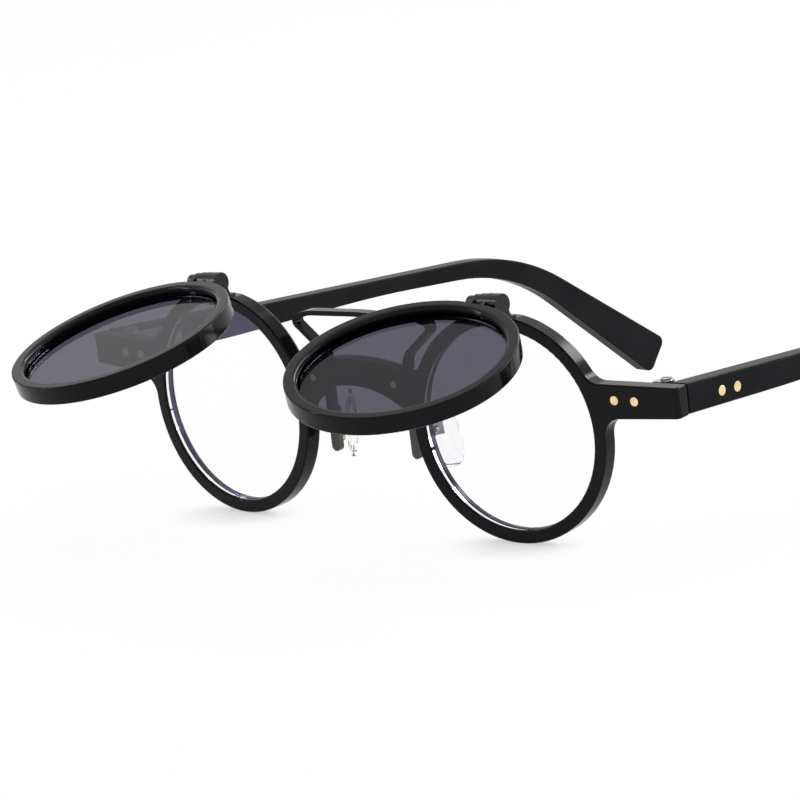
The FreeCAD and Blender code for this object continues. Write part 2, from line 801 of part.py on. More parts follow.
def make_temple_hinge_leaf():
    """Plate on the inner face of the temple, with the middle knuckle; drawn in the temple's frame."""
    body = make_body("temple_hinge_leaf_left")
    inner = -size.temple_thickness / 2
    axis = TEMPLE_JOINT.inverse() * HINGE_AXIS
    start = axis.Base.y + size.hinge_barrel_radius + size.hinge_stand
    plate = move(inner - size.hinge_leaf_thickness, start, -size.hinge_leaf_height / 2)
    add_solid(body, "AdditiveBox", plate, Length="sizes.hinge_leaf_thickness",
              Width=size.temple_leaf_end - start, Height="sizes.hinge_leaf_height")
    level = hinge_starts(1)[0]
    add_solid(body, "AdditiveCylinder", axis * move(z=level), Radius="sizes.hinge_barrel_radius",
              Height=hinge_knuckle())
    add_solid(body, "AdditiveBox", axis * move(z=level), Length=inner - axis.Base.x,
              Width="sizes.hinge_barrel_radius + 2 * sizes.hinge_stand", Height=hinge_knuckle())
    cut_solid(body, "SubtractiveCylinder", axis * move(z=-size.hinge_barrel_length / 2),
              Radius="sizes.hinge_screw_radius + sizes.running_clearance", Height="sizes.hinge_barrel_length")
    for place in temple_rivet_places():
        cut_solid(body, "SubtractiveCylinder", place,
                  Radius="sizes.temple_rivet_radius + sizes.fit_clearance",
                  Height="sizes.temple_thickness + sizes.hinge_leaf_thickness + sizes.cut_overrun")
    return finish(body, TEMPLE_JOINT)


def make_hinge_screw():
    body = make_body("hinge_screw_left")
    foot = -size.hinge_barrel_length / 2
    add_solid(body, "AdditiveCylinder", move(z=foot), Radius="sizes.hinge_screw_radius",
              Height="sizes.hinge_barrel_length")
    add_solid(body, "AdditiveCylinder", move(z=-foot), Radius="sizes.hinge_head_radius",
              Height="sizes.hinge_head_height")
    slot = move(-size.hinge_head_radius, -size.hinge_head_height / 2, -foot + size.hinge_head_height / 2)
    cut_solid(body, "SubtractiveBox", slot, Length="2 * sizes.hinge_head_radius",
              Width="sizes.hinge_head_height", Height="sizes.hinge_head_height")
    return finish(body, HINGE_AXIS)


# Rivets: the shank shows in front, a flat head holds the leaf behind

def make_rivet(label, radius, length, place):
    body = make_body(label)
    add_solid(body, "AdditiveCylinder", move(z=-size.rivet_proud), Radius=radius,
              Height=length + size.rivet_proud)
    round_edges(body, lambda edge: isinstance(edge.Curve, Part.Circle) and edge.CenterOfMass.z < 0,
                "sizes.rivet_proud")
    add_solid(body, "AdditiveCylinder", move(z=length), Radius=radius + " + sizes.rivet_head_flange",
              Height="sizes.rivet_head_height")
    body.Placement = place
    return body


def make_rivets():
    front = [make_rivet("front_rivet_%d" % number, "sizes.front_rivet_radius",
                        size.front_thickness + size.hinge_leaf_thickness, WRAP * place)
             for number, place in enumerate(front_rivet_places())]
    front += [mirrored(rivet, rivet.Label + "_right") for rivet in front]
    compound("front_rivets", front)
    temple = [make_rivet("temple_rivet_%d" % number, "sizes.temple_rivet_radius",
                         size.temple_thickness + size.hinge_leaf_thickness, TEMPLE_JOINT * place)
              for number, place in enumerate(temple_rivet_places())]
    compound("temple_rivets_left", temple)
    bridge = make_rivet("bridge_rivet", "sizes.bridge_rivet_radius",
                        bar_level() + size.bar_thickness - bridge_face(),
                        bridge_rivet_place() * move(z=bridge_face()))
    compound("bridge_rivets", [bridge, mirrored(bridge, "bridge_rivet_right")])


def bridge_face():
    """Depth of the front face at the bridge rivets."""
    return size.bar_leg_offset * math.tan(math.radians(size.wrap_angle))


def bar_level():
    """Depth of the strap's front face, just clear of the rear of the bridge."""
    wrap = math.radians(size.wrap_angle)
    outer = size.bar_leg_offset + size.bar_leg_width / 2
    return outer * math.tan(wrap) + size.front_thickness / math.cos(wrap) + size.fit_clearance


# Metal strap and nose pads

def leg_outline(side):
    """Round-ended leg that lies behind the bridge."""
    half = size.bar_leg_width / 2
    ends = half - size.fit_clearance
    middle = side * size.bar_leg_offset
    foot = -size.bar_tongue_drop
    return closed_outline([(middle - half, foot, ends), (middle + half, foot, ends),
                           (middle + half, size.bar_leg_top, ends), (middle - half, size.bar_leg_top, ends)])


def loop_outline():
    """Narrow strap from one leg up, over the bridge and down to the other."""
    half = [(size.bar_leg_offset, size.bar_foot_level, 0),
            (size.bar_leg_offset, size.bar_knee_level, size.bar_knee_round),
            (size.bar_corner_offset, size.bar_corner_level, size.bar_corner_round),
            (size.bar_shoulder_offset, size.bar_shoulder_level, size.bar_shoulder_round)]
    crown = [(0, size.bar_crown_level, size.bar_crown_round)]
    line = half + crown + [(-across, up, radius) for across, up, radius in half[::-1]]
    points = [Vector(across, up, 0) for across, up, _ in line]
    return closed_outline(strap_corners(points, [radius for _, _, radius in line], size.bar_width))


def make_bridge_bar():
    body = make_body("bridge_bar")
    add_pad(body, add_sketch(body, "strap_loop", "XZ_Plane", loop_outline()), "sizes.bar_depth")
    for side, name in ((1, "strap_leg_left"), (-1, "strap_leg_right")):
        add_pad(body, add_sketch(body, name, "XZ_Plane", leg_outline(side)), "sizes.bar_thickness")
    for side in (1, -1):
        place = across_front(side * size.bar_leg_offset, -size.cut_overrun, size.bridge_rivet_level)
        cut_solid(body, "SubtractiveCylinder", place,
                  Radius="sizes.bridge_rivet_radius + sizes.fit_clearance",
                  Height="sizes.bar_thickness + 2 * sizes.cut_overrun")
    return finish(body, move(y=bar_level()))


def lug_axis():
    """Place of the pad screw in the pad's frame."""
    return Vector(-size.box_forward, -size.box_reach, size.box_rise)


def make_pad_insert():
    body = make_body("pad_insert_left")
    lug = lug_axis()
    plate = move(lug.x - size.pad_insert_width / 2, -size.pad_insert_thickness / 2,
                 lug.z - size.pad_insert_height * insert_above_share)
    add_solid(body, "AdditiveBox", plate, Length="sizes.pad_insert_width",
              Width="sizes.pad_insert_thickness", Height="sizes.pad_insert_height")
    add_solid(body, "AdditiveBox", move(lug.x - size.lug_width / 2, lug.y, lug.z - size.lug_radius),
              Length="sizes.lug_width", Width="sizes.box_reach", Height="2 * sizes.lug_radius")
    add_solid(body, "AdditiveCylinder", along_lug(-size.lug_width / 2), Radius="sizes.lug_radius",
              Height="sizes.lug_width")
    cut_solid(body, "SubtractiveCylinder", along_lug(-size.lug_width / 2 - size.cut_overrun),
              Radius="sizes.pad_screw_radius + sizes.running_clearance",
              Height="sizes.lug_width + 2 * sizes.cut_overrun")
    return finish(body, PAD_CENTRE)


def along_lug(x):
    return Placement(lug_axis(), Rotation()) * along_x(x)


def make_nose_pad():
    body = make_body("nose_pad_left")
    half = size.pad_height / 2
    corners = [(side * width / 2, level, size.pad_corner_round)
               for side, width, level in ((-1, size.pad_width, -half), (1, size.pad_width, -half),
                                          (1, size.pad_top_width, half), (-1, size.pad_top_width, half))]
    add_pad(body, add_sketch(body, "pad_face", "XZ_Plane", closed_outline(corners)), "sizes.pad_thickness",
            midplane=True)
    face = size.pad_thickness / 2
    round_edges(body, lambda edge: in_level(edge, "y", face) or in_level(edge, "y", -face),
                "sizes.pad_edge_round")
    lug = lug_axis()
    play = size.fit_clearance
    plate = move(lug.x - size.pad_insert_width / 2 - play, -size.pad_insert_thickness / 2 - play,
                 lug.z - size.pad_insert_height * insert_above_share - play)
    cut_solid(body, "SubtractiveBox", plate, Length="sizes.pad_insert_width + 2 * sizes.fit_clearance",
              Width="sizes.pad_insert_thickness + 2 * sizes.fit_clearance",
              Height="sizes.pad_insert_height + 2 * sizes.fit_clearance")
    neck = move(lug.x - size.lug_width / 2 - play, lug.y, lug.z - size.lug_radius - play)
    cut_solid(body, "SubtractiveBox", neck, Length="sizes.lug_width + 2 * sizes.fit_clearance",
              Width="sizes.box_reach", Height="2 * (sizes.lug_radius + sizes.fit_clearance)")
    return finish(body, PAD_CENTRE)


def box_half_width():
    return size.lug_width / 2 + size.lug_play + size.box_cheek


def make_pad_arm():
    """Pad box with its wire arm, brazed into one piece."""
    box = make_body("pad_box")
    lug = lug_axis()
    rear = lug.y - size.lug_radius - size.lug_play
    corner = move(lug.x - box_half_width(), rear - size.box_cheek, lug.z - size.box_half_height)
    add_solid(box, "AdditiveBox", corner,
              Length="sizes.lug_width + 2 * (sizes.lug_play + sizes.box_cheek)",
              Width="sizes.box_cheek + sizes.box_depth", Height="2 * sizes.box_half_height")
    slot = move(lug.x - size.lug_width / 2 - size.lug_play, rear,
                lug.z - size.box_half_height - size.cut_overrun)
    cut_solid(box, "SubtractiveBox", slot, Length="sizes.lug_width + 2 * sizes.lug_play",
              Width="sizes.box_depth + sizes.cut_overrun",
              Height="2 * (sizes.box_half_height + sizes.cut_overrun)")
    cut_solid(box, "SubtractiveCylinder", along_lug(-box_half_width() - size.cut_overrun),
              Radius="sizes.pad_screw_radius + sizes.fit_clearance",
              Height=2 * (box_half_width() + size.cut_overrun))
    box.Placement = PAD_CENTRE
    wire = doc.addObject("Part::Feature", "arm_wire")
    wire.Shape = arm_wire(rear)
    arm = doc.addObject("Part::Fuse", "pad_arm_left")
    arm.Base = box
    arm.Tool = wire
    doc.recompute()
    return finish(arm, Placement())


def arm_wire(rear):
    """Wire from the rear of the strap's tongue, out round the pad box and into its floor."""
    root = Vector(size.bar_leg_offset, bar_level() + size.bar_thickness, -size.arm_root_drop)
    floor = Vector(-size.box_forward, rear - size.box_cheek / 2, size.box_rise)
    lead = PAD_CENTRE.multVec(floor - Y_AXIS * size.arm_lead)
    points = [root, root + Y_AXIS * size.arm_root_length, lead, PAD_CENTRE.multVec(floor)]
    edges = rounded_run(points, [0, size.arm_bend, size.arm_bend, 0], closed=False)
    path = Part.Wire(Part.__sortEdges__([edge.toShape() for edge in edges]))
    section = Part.Wire(Part.Circle(root, Y_AXIS, size.arm_radius).toShape())
    return path.makePipeShell([section], True, False)


def make_pad_screw():
    body = make_body("pad_screw_left")
    half = box_half_width()
    add_solid(body, "AdditiveCylinder", along_lug(-half), Radius="sizes.pad_screw_radius",
              Height="sizes.lug_width + 2 * (sizes.lug_play + sizes.box_cheek)")
    add_solid(body, "AdditiveCylinder", along_lug(-half - size.pad_screw_head_height),
              Radius="sizes.pad_screw_head", Height="sizes.pad_screw_head_height")
    return finish(body, PAD_CENTRE)


# Whole part

def build_left():
    make_front()
    make_lens("lens_left", front_lens_middle(), WRAP)
    make_flip_rim()
    make_lens("flip_lens_left", -(size.flip_gap + size.flip_thickness / 2), FLIP_RAISED * WRAP)
    make_temple()
    make_temple_core()
    make_front_hinge_leaf()
    make_temple_hinge_leaf()
    make_hinge_screw()
    make_rivets()
    make_bridge_bar()
    make_pad_insert()
    make_nose_pad()
    make_pad_arm()
    make_pad_screw()


def build_flip_hinges():
    for side in FLIP_HINGES:
        make_flip_fixed_leaf(side)
        make_flip_moving_leaf(side)
        make_flip_pin(side)


def build_right():
    for label in [name for name in subparts if name.endswith("_left")]:
        twin = label[:-len("left")] + "right"
        subparts[twin] = mirrored(subparts[label], twin)
    doc.recompute()


def settled():
    """Stand the leaning frame on its rims and its temple tips, centred over the origin."""
    place = LEAN
    for _ in range(SETTLE_ROUNDS):
        front = tight_box("front_frame", place)
        temple = tight_box("temple_left", place)
        slope = math.atan2(temple.ZMin - front.ZMin, temple.YMax - front.YMin)
        place = turn(X_AXIS, -math.degrees(slope)) * place
    boxes = [tight_box(label, place) for label in subparts]
    front_end = min(box.YMin for box in boxes)
    rear_end = max(box.YMax for box in boxes)
    return move(0, -(front_end + rear_end) / 2, -min(box.ZMin for box in boxes)) * place


def tight_box(label, place):
    """Bounding box of a sub-part at rest, without slack."""
    return shape_in(place * rest_place(label), subparts[label]).optimalBoundingBox(False, False)


def rest_place(label):
    """Place of a sub-part at rest in the front's frame: the right temple stands a little folded."""
    folded = label.startswith("temple_") and label.endswith("_right")
    return RIGHT_FOLDED if folded else Placement()


def shape_in(place, part):
    shape = part.Shape.copy()
    shape.Placement = place * shape.Placement
    return shape


def check_document():
    for obj in doc.Objects:
        if "Invalid" in obj.State or "Error" in obj.State:
            raise RuntimeError("failed object: " + obj.Label)
    for label, part in subparts.items():
        if part.Shape.isNull() or not part.Shape.isValid():
            raise RuntimeError("bad shape: " + label)


def write_parts(place):
    os.makedirs("parts", exist_ok=True)
    for label, part in subparts.items():
        shape_in(place * rest_place(label), part).exportStep(os.path.join("parts", label + ".step"))
        print("%-26s %9.2f mm3 %d solids" % (label, part.Shape.Volume, len(part.Shape.Solids)))


def print_joint(name, place, axis, point=Vector()):
    base = place.multVec(point)
    direction = place.Rotation.multVec(axis)
    print("joint %s at %.4f %.4f %.4f along %.6f %.6f %.6f" % ((name,) + tuple(base) + tuple(direction)))


build_left()
build_right()
build_flip_hinges()
check_document()
REST = settled()
write_parts(REST)
print_joint("flip_left", REST * FLIP_HINGE, X_AXIS)
print_joint("temple_left", REST * HINGE_AXIS, Z_AXIS)
print_joint("pad_left", REST * PAD_CENTRE, X_AXIS, lug_axis())
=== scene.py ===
import bmesh
import bpy
import math
from mathutils import Matrix, Quaternion, Vector


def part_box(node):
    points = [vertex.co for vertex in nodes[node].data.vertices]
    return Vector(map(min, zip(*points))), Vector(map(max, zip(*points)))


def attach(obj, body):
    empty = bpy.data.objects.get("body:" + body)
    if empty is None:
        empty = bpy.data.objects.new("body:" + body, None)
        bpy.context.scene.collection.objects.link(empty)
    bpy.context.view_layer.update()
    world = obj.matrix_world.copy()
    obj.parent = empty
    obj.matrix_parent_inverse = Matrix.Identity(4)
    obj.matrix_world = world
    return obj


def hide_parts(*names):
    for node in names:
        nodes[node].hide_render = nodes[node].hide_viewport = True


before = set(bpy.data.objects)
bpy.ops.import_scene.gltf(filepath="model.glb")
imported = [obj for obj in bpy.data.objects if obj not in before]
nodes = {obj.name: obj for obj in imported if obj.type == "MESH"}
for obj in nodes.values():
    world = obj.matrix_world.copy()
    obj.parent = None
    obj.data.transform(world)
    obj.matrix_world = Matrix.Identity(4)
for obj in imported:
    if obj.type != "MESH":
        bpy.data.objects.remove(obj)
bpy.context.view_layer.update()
scene = bpy.context.scene

# Flip up spectacles in metres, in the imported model's frame: +X is the wearer's left, the front faces -Y.
MM = 0.001
MICRON = 0.000001
SIDES = {"left": 1, "right": -1}

# Places of the front and the flips in the model, repeated from the part's own sizes
REST_LEAN = math.radians(4.8773)
REST_SHIFT = Vector((0, -53.1786, 19.888)) * MM
WRAP = math.radians(4.85)
FLIP_RAISE = math.radians(76.7)

# Camera of the photograph
CAMERA_PLACE = (0.64261, -0.73657, 0.19106)
CAMERA_TARGET = (0.00552, -0.04734, 0.02293)
CAMERA_ROLL = math.radians(-3.917)
FOCAL_LENGTH = 246.155
SENSOR_WIDTH = 36.0

# Noise of the materials: scales per metre, and the detail and roughness of a fine grain
POLISH_SCALE = 2600
PLATING_SCALE = 3200
ACETATE_MOTTLE = 90
METAL_MOTTLE = 500
LENS_CLOUDS = 40
PAD_CLOUDS = 700
PAPER_SCALE = 60
GRAIN_DETAIL = 4
GRAIN_ROUGHNESS = 0.6
MOTTLE_DETAIL = 3

# How far the roughness varies with the noise
POLISH_SPREAD = 0.1
CLOUD_SPREAD = 0.02
METAL_SMOOTHER = 0.06
METAL_ROUGHER = 0.08

# Noise values at which a mottle or cloud reaches its first and its second tone
MOTTLE_STOPS = (0.3, 0.7)
CLOUD_STOPS = (0.2, 0.8)

# First and second tone of each surface
ACETATE_TONES = ((0.003, 0.003, 0.0034), (0.006, 0.006, 0.0066))
SATIN_TONES = ((0.013, 0.0132, 0.0148), (0.019, 0.0193, 0.0215))
LACQUER_TONES = ((0.004, 0.004, 0.0045), (0.01, 0.01, 0.011))
# Strap: the first tone is the plating's own brown at the feet, the second a painted dark reflection over the
# arch
STRAP_PLATING_AND_PAINTED_REFLECTION_TONES = ((0.1, 0.09, 0.083), (0.006, 0.0055, 0.005))
STEEL_TONES = ((0.42, 0.42, 0.44), (0.66, 0.66, 0.68))
GUNMETAL_TONES = ((0.16, 0.15, 0.14), (0.3, 0.28, 0.26))
GOLD_TONES = ((0.82, 0.58, 0.24), (0.96, 0.74, 0.38))
CLEAR_TONES = ((0.985, 0.985, 0.995), (0.998, 0.998, 1.0))
GREY_TONES = ((0.077, 0.073, 0.102), (0.083, 0.079, 0.11))
SILICONE_TONES = ((0.93, 0.935, 0.945), (0.98, 0.98, 0.99))
PAPER_TONES = ((0.94, 0.94, 0.94), (0.98, 0.98, 0.98))

# Heights between which the strap turns from its own brown plating at the feet to a near black painted over
# the arch as a dark reflection
STRAP_FEET = 21 * MM
STRAP_ARCH = 26 * MM

# Tints of the reflections
WHITE = (1.0, 1.0, 1.0, 1.0)
COOL = (0.92, 0.92, 1.0, 1.0)
COLD = (0.8, 0.86, 1.0, 1.0)
WARM = (1.0, 0.88, 0.78, 1.0)
BLUE_COAT = (0.42, 0.42, 1.0, 1.0)
FAINT_COAT = (0.8, 0.8, 1.0, 1.0)

# Lenses, each with a thin flange in the groove; a tinted lens lies further back than its CAD node
LENS_POINTS = 256
LENS_THICKNESS = 1.4 * MM
LENS_RADIUS = 18.85 * MM
CLEAR_RADIUS = 17.97 * MM
LENS_FLANGE = 0.2 * MM
PANE_RADIUS = 17.88 * MM
PANE_OFFSET = 0.8 * MM
SHARP_ANGLE = math.radians(30)

# Nose pads
PAD_OFFSET = 11.4 * MM
PAD_DEPTH = 10.9 * MM
PAD_LEVEL = -5.0 * MM
PAD_SPLAY = math.radians(44.0)
PAD_FLARE = math.radians(6.0)
PAD_HEIGHT = 10.6 * MM
PAD_WIDTH = 6.0 * MM
PAD_TOP_WIDTH = 4.8 * MM
PAD_THICKNESS = 2.4 * MM
PAD_RINGS = 10
PAD_POINTS = 48

# Squareness of a pad's outline and of its edge, where 2 is round
OUTLINE_POWER = 2.7
EDGE_POWER = 2.4

# Floor, and the share of plain white in its look near the points that the rims stand on and away from them
FLOOR_SIZE = 8.0
NEAR_SHARE = 0.5
FAR_SHARE = 0.95
FLOOR_NEAR = 2 * MM
FLOOR_FAR = 14 * MM
# One standing point, with the signs of its coordinates left off so that it serves both sides
STANDING_POINT = (0.033, 0.0495, 0.0)

# Light: strength of the world on the object, and each softbox with its place, size and power in watts
WORLD_LIGHT = 0.6
LIGHT_TARGET = (0, 0, 0.03)
SOFTBOXES = (
    ("overhead", (0.05, 0.1, 1.0), (0.8, 0.8), 2.0),
    ("back_strip", (0.1, 0.78, 0.72), (0.9, 0.12), 4.0),
    ("back_right", (0.75, 0.8, 0.25), (0.5, 0.5), 3.0),
    ("front_left", (-0.8, -0.7, 0.35), (0.12, 0.8), 2.0),
)


# Node trees

class Tree:
    """The node tree of a new material or world, with short calls for nodes and links."""

    def __init__(self, owner, output="OutputMaterial"):
        self.owner = owner
        owner.use_nodes = True
        self.nodes = owner.node_tree.nodes
        self.links = owner.node_tree.links
        self.nodes.clear()
        self.output = self.nodes.new("ShaderNode" + output)

    def add(self, kind, values=(), **settings):
        """New node, with its inputs set to values or linked to sockets."""
        node = self.nodes.new("ShaderNode" + kind)
        for name, value in settings.items():
            setattr(node, name, value)
        for name, value in dict(values).items():
            if isinstance(value, bpy.types.NodeSocket):
                self.links.new(value, node.inputs[name])
            else:
                node.inputs[name].default_value = value
        return node

    def object_coordinates(self):
        return self.add("TexCoord").outputs["Object"]

    def noise(self, scale, detail=2.0, roughness=0.5):
        values = {"Vector": self.object_coordinates(), "Scale": scale, "Detail": detail,
                  "Roughness": roughness}
        return self.add("TexNoise", values).outputs["Fac"]

    def grain(self, scale):
        """Fine noise, such as polishing or plating leaves."""
        return self.noise(scale, GRAIN_DETAIL, GRAIN_ROUGHNESS)

    def ramp(self, fac, tones, start=0.0, end=1.0):
        """Colour that goes from the first tone to the second."""
        node = self.add("ValToRGB", {"Fac": fac})
        for element, position, tone in zip(node.color_ramp.elements, (start, end), tones):
            element.position = position
            element.color = tone + (1.0,)
        return node.outputs["Color"]

    def spread(self, fac, low, high):
        """A 0 to 1 value mapped to a range."""
        return self.add("MapRange", {"Value": fac, "To Min": low, "To Max": high}).outputs["Result"]

    def bump(self, height, distance):
        values = {"Height": height, "Distance": distance, "Strength": 1.0}
        return self.add("Bump", values).outputs["Normal"]

    def principled(self, **values):
        """Finish with a principled shader, whose inputs are named with _ for a space."""
        shader = self.add("BsdfPrincipled", {name.replace("_", " "): value for name, value in values.items()})
        return self.finish(shader.outputs["BSDF"])

    def finish(self, shader):
        self.links.new(shader, self.output.inputs["Surface"])
        return self.owner


def new_tree(name):
    return Tree(bpy.data.materials.new(name))


# Materials

def polished(tree, colour, gloss, specular, grain, tint):
    """Gloss over a colour, with a fine polishing grain."""
    fine = tree.grain(POLISH_SCALE)
    return tree.principled(
        Base_Color=colour, Roughness=tree.spread(fine, gloss, gloss + POLISH_SPREAD),
        Normal=tree.bump(fine, grain), Specular_IOR_Level=specular, Specular_Tint=tint)


def black_gloss(name, tones, **surface):
    """Polished black acetate or lacquer, with a faint mottle between two tones."""
    tree = new_tree(name)
    mottle = tree.noise(ACETATE_MOTTLE, MOTTLE_DETAIL)
    return polished(tree, tree.ramp(mottle, tones, *MOTTLE_STOPS), **surface)


def strap_with_painted_dark_arch(name, tones, **surface):
    """Brown plating at the feet that turns to near black over the arch, where the near black is a painted
    dark reflection.
    """
    tree = new_tree(name)
    height = tree.add("SeparateXYZ", {"Vector": tree.object_coordinates()}).outputs["Z"]
    painted_arch = tree.add("MapRange", {"Value": height, "From Min": STRAP_FEET, "From Max": STRAP_ARCH})
    return polished(tree, tree.ramp(painted_arch.outputs["Result"], tones), **surface)


def metal(name, tones, roughness, grain):
    """Plated metal with a mottled tone."""
    tree = new_tree(name)
    fine = tree.grain(PLATING_SCALE)
    mottle = tree.noise(METAL_MOTTLE, MOTTLE_DETAIL)
    return tree.principled(
        Base_Color=tree.ramp(mottle, tones, *MOTTLE_STOPS),
        Roughness=tree.spread(fine, roughness - METAL_SMOOTHER, roughness + METAL_ROUGHER),
        Normal=tree.bump(fine, grain), Metallic=1.0)


def clear_glass(name, tones, clouds, roughness, ior, tint=WHITE):
    """Clear solid that bends what is behind it, with faint clouds in its tone."""
    tree = new_tree(name)
    cloud = tree.noise(clouds)
    return tree.principled(
        Base_Color=tree.ramp(cloud, tones, *CLOUD_STOPS),
        Roughness=tree.spread(cloud, roughness, roughness + CLOUD_SPREAD),
        Transmission_Weight=1.0, IOR=ior, Specular_Tint=tint)


def both(stem):
    """Names of the left and the right node."""
    return [stem + "_" + side for side in SIDES]


def dress(material, *names):
    """Give CAD nodes a material."""
    for name in names:
        for slot in nodes[name].material_slots:
            slot.link = "OBJECT"
            slot.material = material


def dress_acetate():
    black = black_gloss("black_acetate", ACETATE_TONES,
                        gloss=0.06, specular=0.12, grain=2 * MICRON, tint=COOL)
    dress(black, "front_frame", *both("flip_rim"))
    satin = black_gloss("satin_acetate", SATIN_TONES,
                        gloss=0.16, specular=0.015, grain=2 * MICRON, tint=COLD)
    dress(satin, *both("temple"))


def dress_metal():
    # The strap's near black over the arch is a painted dark reflection, its feet show the plating's own brown
    strap = strap_with_painted_dark_arch("plating_with_painted_dark_arch", STRAP_PLATING_AND_PAINTED_REFLECTION_TONES,
                         gloss=0.12, specular=0.12, grain=4 * MICRON, tint=WARM)
    dress(strap, "bridge_bar")
    dark = black_gloss("black_metal", LACQUER_TONES,
                       gloss=0.1, specular=0.3, grain=3 * MICRON, tint=COOL)
    dress(dark, *both("flip_fixed_leaf"), *both("flip_moving_leaf"), *both("flip_pin"))
    steel = metal("hinge_steel", STEEL_TONES, roughness=0.24, grain=3 * MICRON)
    dress(steel, *both("front_hinge_leaf"), *both("temple_hinge_leaf"), *both("hinge_screw"))
    gun = metal("gunmetal", GUNMETAL_TONES, roughness=0.28, grain=3 * MICRON)
    dress(gun, *both("pad_arm"), *both("pad_screw"), *both("temple_core"))
    gold = metal("gold", GOLD_TONES, roughness=0.2, grain=4 * MICRON)
    dress(gold, "front_rivets", "bridge_rivets", *both("temple_rivets"))


# Meshes and objects

def join_rings(bm, rings):
    """Faces between each ring of points and the next."""
    for first, second in zip(rings, rings[1:]):
        for point in range(len(first)):
            after = (point + 1) % len(first)
            bm.faces.new((first[point], first[after], second[after], second[point]))


def finish_mesh(bm, name, place):
    """Smooth mesh with sharp corners, moved to its place."""
    bmesh.ops.recalc_face_normals(bm, faces=bm.faces)
    mesh = bpy.data.meshes.new(name)
    bm.to_mesh(mesh)
    bm.free()
    mesh.transform(place)
    for polygon in mesh.polygons:
        polygon.use_smooth = True
    mesh.set_sharp_from_angle(angle=SHARP_ANGLE)
    return mesh


def new_object(name, data):
    """New object in the scene."""
    obj = bpy.data.objects.new(name, data)
    scene.collection.objects.link(obj)
    return obj


def add_piece(mesh, material, body, node):
    """Show a mesh in place of a CAD node."""
    piece = new_object(mesh.name, mesh)
    mesh.materials.append(material)
    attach(piece, body)
    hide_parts(node)
    return piece


# Lenses

def clear_outline():
    """Radius and depth of a clear lens's edge, from its front to the flange at its back."""
    front, back = -LENS_THICKNESS / 2, LENS_THICKNESS / 2
    step = back - LENS_FLANGE
    return (CLEAR_RADIUS, front), (CLEAR_RADIUS, step), (LENS_RADIUS, step), (LENS_RADIUS, back)


def tinted_outline():
    """Radius and depth of a tinted lens's edge, from the flange at its front to its back."""
    front, back = PANE_OFFSET - LENS_THICKNESS / 2, PANE_OFFSET + LENS_THICKNESS / 2
    step = front + LENS_FLANGE
    return (LENS_RADIUS, front), (LENS_RADIUS, step), (PANE_RADIUS, step), (PANE_RADIUS, back)


def lens_mesh(name, node, side, lean, outline):
    """Round lens turned about its own axis, centred on its CAD node."""
    bm = bmesh.new()
    angles = [2 * math.pi * point / LENS_POINTS for point in range(LENS_POINTS)]
    rings = []
    for radius, depth in outline:
        points = [(radius * math.cos(angle), depth, radius * math.sin(angle)) for angle in angles]
        rings.append([bm.verts.new(point) for point in points])
    join_rings(bm, rings)
    for ring in (rings[0], rings[-1]):
        bm.faces.new(ring)
    low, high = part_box(node)
    centre = Matrix.Translation((Vector(low) + Vector(high)) / 2)
    turned = Matrix.Rotation(lean, 4, "X") @ Matrix.Rotation(side * WRAP, 4, "Z")
    return finish_mesh(bm, name, centre @ turned)


def make_lenses():
    clear = clear_glass("clear_lens", CLEAR_TONES, LENS_CLOUDS, roughness=0.0, ior=1.5, tint=BLUE_COAT)
    tinted = clear_glass("grey_tint", GREY_TONES, LENS_CLOUDS, roughness=0.01, ior=1.18, tint=FAINT_COAT)
    for name, side in SIDES.items():
        node = "lens_" + name
        mesh = lens_mesh("clear_lens_" + name, node, side, REST_LEAN, clear_outline())
        add_piece(mesh, clear, "front", node)
        node = "flip_lens_" + name
        mesh = lens_mesh("tinted_lens_" + name, node, side, REST_LEAN - FLIP_RAISE, tinted_outline())
        add_piece(mesh, tinted, "flip_" + name, node)


# Nose pads

def pad_place(side):
    """Place of a pad: it leans with the front, and is flared and splayed to lie along the nose."""
    lean = Matrix.Translation(REST_SHIFT) @ Matrix.Rotation(REST_LEAN, 4, "X")
    centre = Matrix.Translation((side * PAD_OFFSET, PAD_DEPTH, PAD_LEVEL))
    flare = Matrix.Rotation(-side * PAD_FLARE, 4, "Y")
    splay = Matrix.Rotation(side * PAD_SPLAY, 4, "Z")
    return lean @ centre @ flare @ splay


def rounded(angle, power):
    """Point of a squarish circle of radius one."""
    c, s = math.cos(angle), math.sin(angle)
    return (math.copysign(abs(c) ** (2 / power), c), math.copysign(abs(s) ** (2 / power), s))


def pad_ring(bm, turn):
    """Ring of points round a pad, at a turn of its edge."""
    reach, depth = rounded(turn, EDGE_POWER)
    ring = []
    for point in range(PAD_POINTS):
        across, up = rounded(2 * math.pi * point / PAD_POINTS, OUTLINE_POWER)
        level = up * reach
        width = PAD_WIDTH + (PAD_TOP_WIDTH - PAD_WIDTH) * (level + 1) / 2
        place = (across * reach * width / 2, depth * PAD_THICKNESS / 2, level * PAD_HEIGHT / 2)
        ring.append(bm.verts.new(place))
    return ring


def pad_mesh(name, side):
    """Soft drop-shaped pad, crowned on both faces."""
    bm = bmesh.new()
    turns = [math.pi * ring / PAD_RINGS - math.pi / 2 for ring in range(1, PAD_RINGS)]
    rings = [pad_ring(bm, turn) for turn in turns]
    join_rings(bm, rings)
    for ring, face in ((rings[0], -1), (rings[-1], 1)):
        middle = bm.verts.new((0, face * PAD_THICKNESS / 2, 0))
        for point in range(PAD_POINTS):
            bm.faces.new((ring[point], ring[(point + 1) % PAD_POINTS], middle))
    return finish_mesh(bm, name, pad_place(side))


def make_pads():
    insert = clear_glass("clear_insert", CLEAR_TONES, PAD_CLOUDS, roughness=0.02, ior=1.3)
    dress(insert, *both("pad_insert"))
    silicone = clear_glass("clear_silicone", SILICONE_TONES, PAD_CLOUDS, roughness=0.05, ior=1.42)
    for name, side in SIDES.items():
        mesh = pad_mesh("soft_pad_" + name, side)
        pad = add_piece(mesh, silicone, "pad_" + name, "nose_pad_" + name)


# Stage

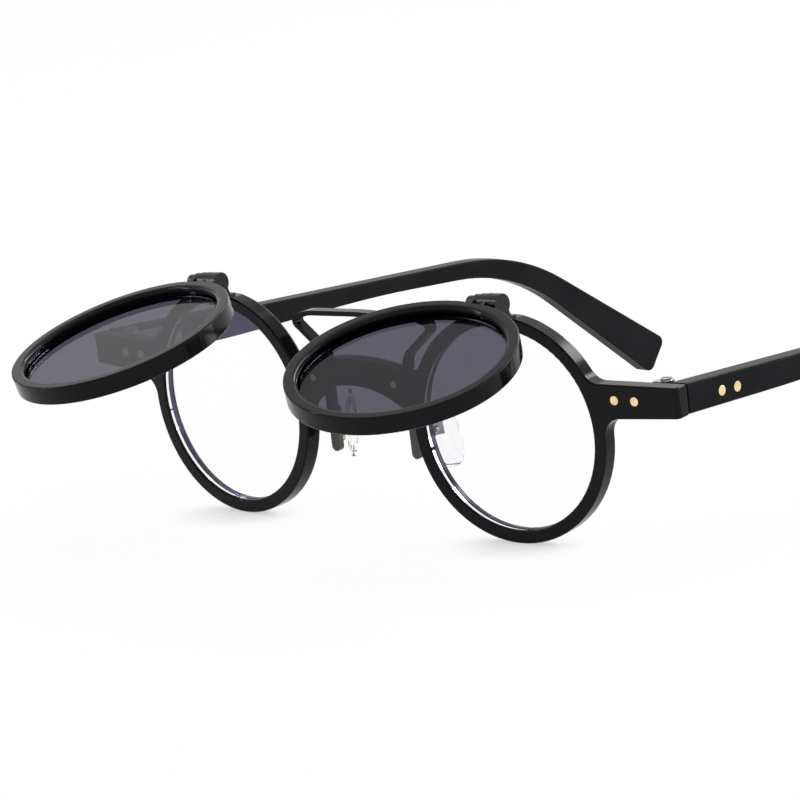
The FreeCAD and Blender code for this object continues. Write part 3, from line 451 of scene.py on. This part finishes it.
def seen_ray(tree):
    """1 for rays that show the background: seen straight, in a mirror or through glass."""
    path = tree.add("LightPath").outputs
    first = tree.add("Math", {0: path["Is Camera Ray"], 1: path["Is Glossy Ray"]}, operation="MAXIMUM")
    shown = tree.add("Math", {0: first.outputs["Value"], 1: path["Is Transmission Ray"]}, operation="MAXIMUM")
    return shown.outputs["Value"]


def white_share(tree):
    """Share of plain white, lower near the standing points so that the contact shadows show."""
    unsigned = tree.add("VectorMath", {0: tree.object_coordinates()}, operation="ABSOLUTE").outputs["Vector"]
    reach = tree.add("VectorMath", {0: unsigned, 1: STANDING_POINT}, operation="DISTANCE").outputs["Value"]
    values = {"Value": reach, "From Min": FLOOR_NEAR, "From Max": FLOOR_FAR,
              "To Min": NEAR_SHARE, "To Max": FAR_SHARE}
    return tree.add("MapRange", values, interpolation_type="SMOOTHSTEP").outputs["Result"]


def floor_material():
    """Pale paper that shows partly as plain white and lights the object as paper."""
    tree = new_tree("pale_floor")
    colour = tree.ramp(tree.noise(PAPER_SCALE, MOTTLE_DETAIL), PAPER_TONES)
    paper = tree.add("BsdfDiffuse", {"Color": colour}).outputs["BSDF"]
    glow = tree.add("Emission", {"Color": WHITE, "Strength": 1.0}).outputs["Emission"]
    lit = tree.add("MixShader", {"Fac": white_share(tree), 1: paper, 2: glow}).outputs["Shader"]
    shown = tree.add("MixShader", {"Fac": seen_ray(tree), 1: paper, 2: lit})
    return tree.finish(shown.outputs["Shader"])


def make_floor():
    half = FLOOR_SIZE / 2
    corners = [(-half, -half, 0), (half, -half, 0), (half, half, 0), (-half, half, 0)]
    mesh = bpy.data.meshes.new("floor")
    mesh.from_pydata(corners, [], [(0, 1, 2, 3)])
    mesh.materials.append(floor_material())
    floor = new_object("floor", mesh)


def make_world():
    scene.world = bpy.data.worlds.new("studio")
    tree = Tree(scene.world, "OutputWorld")
    strength = tree.spread(seen_ray(tree), WORLD_LIGHT, 1.0)
    sky = tree.add("Background", {"Color": WHITE, "Strength": strength})
    tree.finish(sky.outputs["Background"])


def facing(place, target):
    """Turn that points a light or the camera at its target."""
    return (Vector(target) - Vector(place)).to_track_quat("-Z", "Y")


def make_lights():
    """One broad softbox above, and others whose mirror images draw the bright lines on the edges."""
    for name, place, size, power in SOFTBOXES:
        light = bpy.data.lights.new(name, "AREA")
        light.shape = "RECTANGLE"
        light.size, light.size_y = size
        light.energy = power
        box = new_object(name, light)
        box.location = place
        box.rotation_euler = facing(place, LIGHT_TARGET).to_euler()


def make_camera():
    camera = bpy.data.cameras.new("camera")
    camera.lens = FOCAL_LENGTH
    camera.sensor_width = SENSOR_WIDTH
    obj = new_object("camera", camera)
    obj.rotation_mode = "QUATERNION"
    obj.rotation_quaternion = facing(CAMERA_PLACE, CAMERA_TARGET) @ Quaternion((0, 0, 1), CAMERA_ROLL)
    obj.location = CAMERA_PLACE
    scene.camera = obj


# Whole scene

dress_acetate()
make_lenses()
dress_metal()
make_pads()
make_floor()
make_world()
make_lights()
make_camera()
scene.view_settings.view_transform = "Standard"
